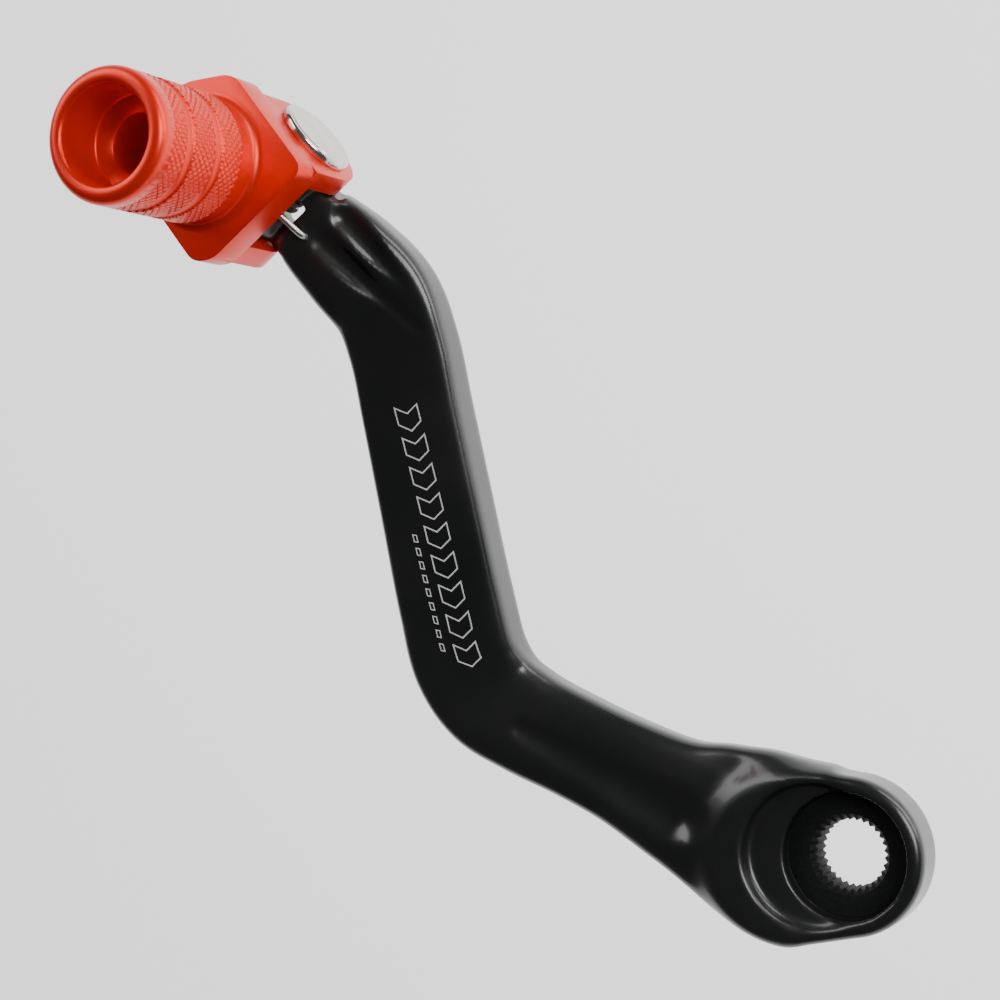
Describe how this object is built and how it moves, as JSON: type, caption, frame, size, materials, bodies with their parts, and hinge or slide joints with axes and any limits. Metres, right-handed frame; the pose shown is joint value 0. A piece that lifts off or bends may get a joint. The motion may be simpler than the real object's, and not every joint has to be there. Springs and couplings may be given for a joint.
{
  "type": "gear shift lever",
  "caption": "Forged motorcycle gear shift lever with a splined boss, a cranked arm and a sprung folding foot tip with a knurled hollow peg.",
  "frame": {"origin": "centre of the splined bore, in the floor of the bolt counterbore", "axes": "+Y along the bore to the outer side, the side the foot peg points to; +X from the bore towards the folding tip; +Z along the tip's pivot, up in use"},
  "size_m": [0.1816, 0.0788, 0.0596],
  "materials": {
    "arm_black": "gloss black anodised forging",
    "tip_anodised": "satin orange-red anodised",
    "pin_steel": "bright nickel plate",
    "screw_steel": "plated steel",
    "spring_steel": "drawn wire"
  },
  "bodies": {
    "lever": {"lever_arm": "arm_black", "torsion_spring": "spring_steel"},
    "folding_tip": {"tip_body": "tip_anodised", "pivot_pin": "pin_steel", "pivot_screw": "screw_steel"}
  },
  "joints": [
    {"name": "tip_fold", "type": "hinge", "parent": "lever", "child": "folding_tip", "pos_m": [0.149, 0.03, 0], "axis": [0, 0, 1], "range_deg": [0, 40], "stiffness_Nm_per_rad": 0.4, "springref_deg": -34.38, "deforming": ["torsion_spring"]}
  ]
}
